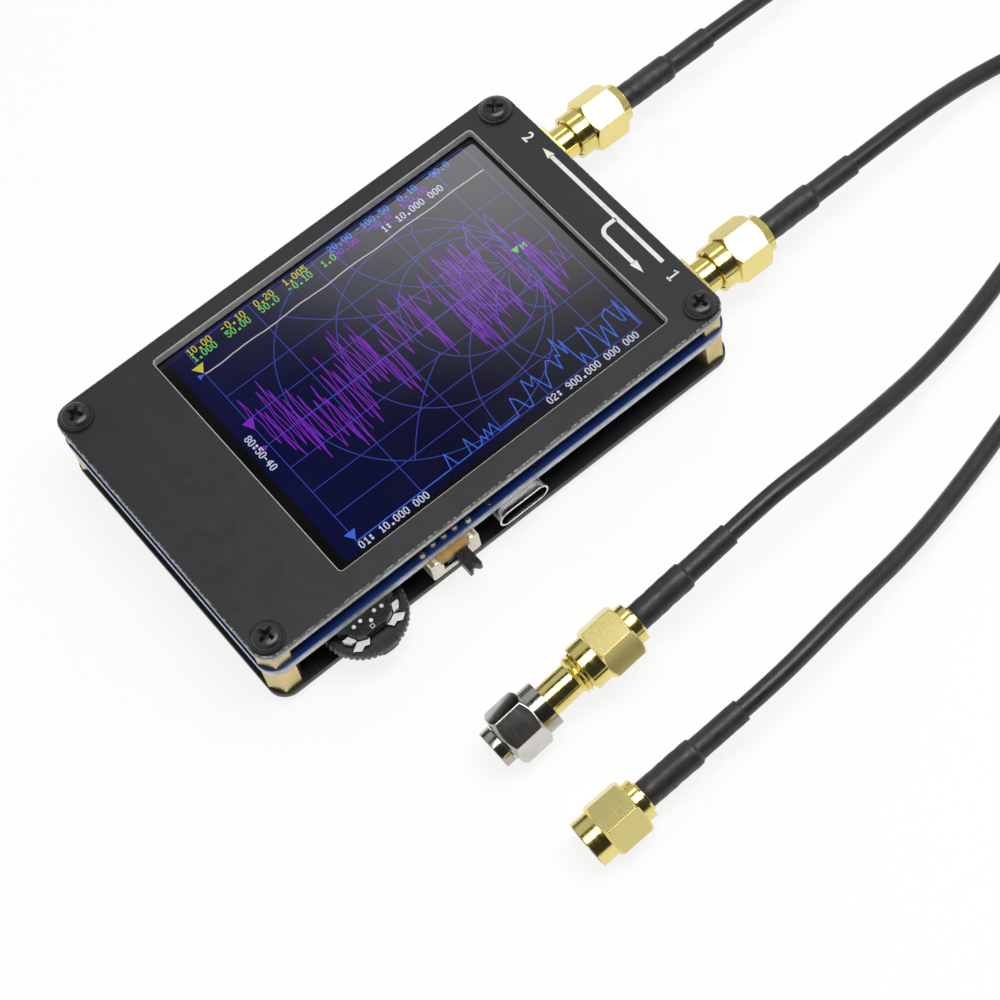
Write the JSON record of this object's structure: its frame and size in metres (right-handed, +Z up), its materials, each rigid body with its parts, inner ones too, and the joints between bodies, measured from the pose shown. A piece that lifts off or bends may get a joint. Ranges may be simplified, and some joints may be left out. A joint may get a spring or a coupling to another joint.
{
  "type": "antenna analyzer",
  "caption": "Pocket antenna analyzer: stacked black panels around a blue board, touch screen, thumbwheel, two coaxial ports with test cables, coupler and matched load.",
  "frame": {"origin": "middle of the plan of the analyzer without its cables, on the surface it stands on", "axes": "+X towards the coaxial ports, +Y away from the thumbwheel's side, +Z up out of the screen"},
  "size_m": [0.1978, 0.1047, 0.0166],
  "materials": {
    "panel_black": "satin",
    "board_blue": "satin",
    "screw_black": "satin",
    "brass": "satin",
    "gold": "polished",
    "nickel": "polished",
    "steel": "satin",
    "tray_grey": "satin",
    "glass_dark": "gloss",
    "touch_layer": "gloss",
    "flex_brown": "satin",
    "black_plastic": "satin",
    "amber_plastic": "satin",
    "white_plastic": "matte",
    "sleeve_black": "matte",
    "cable_black": "satin",
    "lead_red": "satin",
    "pouch_silver": "satin",
    "chip_black": "matte",
    "passive_tan": "matte"
  },
  "bodies": {
    "analyzer": {"battery_cell": "pouch_silver", "battery_header": "white_plastic", "battery_leads": "lead_red", "board_chips": "chip_black", "board_passives": "passive_tan", "cable_1_cord": "cable_black", "cable_1_far_body": "gold", "cable_1_far_sleeve": "sleeve_black", "cable_1_insulators": "white_plastic", "cable_1_near_body": "gold", "cable_1_near_sleeve": "sleeve_black", "cable_1_pins": "gold", "cable_2_cord": "cable_black", "cable_2_far_body": "gold", "cable_2_far_sleeve": "sleeve_black", "cable_2_insulators": "white_plastic", "cable_2_near_body": "gold", "cable_2_near_sleeve": "sleeve_black", "cable_2_pins": "gold", "coupler_contact": "gold", "coupler_insulator": "white_plastic", "coupler_shell": "gold", "display_flex": "flex_brown", "display_frame": "tray_grey", "display_glass": "glass_dark", "flex_connector": "white_plastic", "front_panel": "panel_black", "front_screws": "screw_black", "load_body": "nickel", "load_pin": "gold", "lower_standoffs": "brass", "main_board": "board_blue", "microcontroller": "chip_black", "port_1_shell": "gold", "port_2_shell": "gold", "port_contacts": "gold", "port_insulators": "white_plastic", "power_switch_base": "amber_plastic", "power_switch_pins": "steel", "power_switch_shell": "steel", "rear_panel": "panel_black", "rear_screws": "screw_black", "shield_cans": "tray_grey", "touch_panel": "touch_layer", "upper_standoffs": "brass", "usb_insert": "black_plastic", "usb_shell": "steel", "wheel_base": "black_plastic", "wheel_contacts": "steel", "wheel_springs": "steel"},
    "power_lever": {"power_switch_lever": "black_plastic"},
    "wheel_slider": {"wheel_carrier": "white_plastic", "wheel_rivet": "steel"},
    "thumbwheel": {"thumbwheel": "black_plastic"},
    "port_1_nut": {"cable_1_near_nut": "gold"},
    "port_2_nut": {"cable_2_near_nut": "gold"},
    "free_nut": {"cable_1_far_nut": "gold"},
    "coupler_nut": {"cable_2_far_nut": "gold"},
    "load_nut": {"load_nut": "nickel"}
  },
  "joints": [
    {"name": "power_slide", "type": "slide", "parent": "analyzer", "child": "power_lever", "axis": [-1, 0, 0], "range_m": [0, 0.002]},
    {"name": "wheel_press", "type": "slide", "parent": "analyzer", "child": "wheel_slider", "axis": [0, 1, 0], "range_m": [0, 0.0005], "stiffness_N_per_m": 400, "springref_m": -0.0005},
    {"name": "wheel_turn", "type": "hinge", "parent": "wheel_slider", "child": "thumbwheel", "pos_m": [-0.03095, -0.02297, 0.0065], "axis": [0, 0, 1], "range_deg": [-15, 15], "stiffness_Nm_per_rad": 0.003},
    {"name": "port_1_nut_turn", "type": "hinge", "parent": "analyzer", "child": "port_1_nut", "pos_m": [0.0427, -0.01427, 0.0085], "axis": [1, 0, 0], "continuous": true},
    {"name": "port_2_nut_turn", "type": "hinge", "parent": "analyzer", "child": "port_2_nut", "pos_m": [0.0427, 0.01912, 0.0085], "axis": [1, 0, 0], "continuous": true},
    {"name": "free_nut_turn", "type": "hinge", "parent": "analyzer", "child": "free_nut", "pos_m": [-0.02857, -0.07014, 0.00367], "axis": [0.9902, -0.0093, 0.1392], "continuous": true},
    {"name": "coupler_nut_turn", "type": "hinge", "parent": "analyzer", "child": "coupler_nut", "pos_m": [-0.01299, -0.05065, 0.00671], "axis": [0.9876, 0.0126, 0.1564], "continuous": true},
    {"name": "load_nut_turn", "type": "hinge", "parent": "analyzer", "child": "load_nut", "pos_m": [-0.01971, -0.05073, 0.00564], "axis": [-0.9876, -0.0126, -0.1564], "continuous": true}
  ]
}
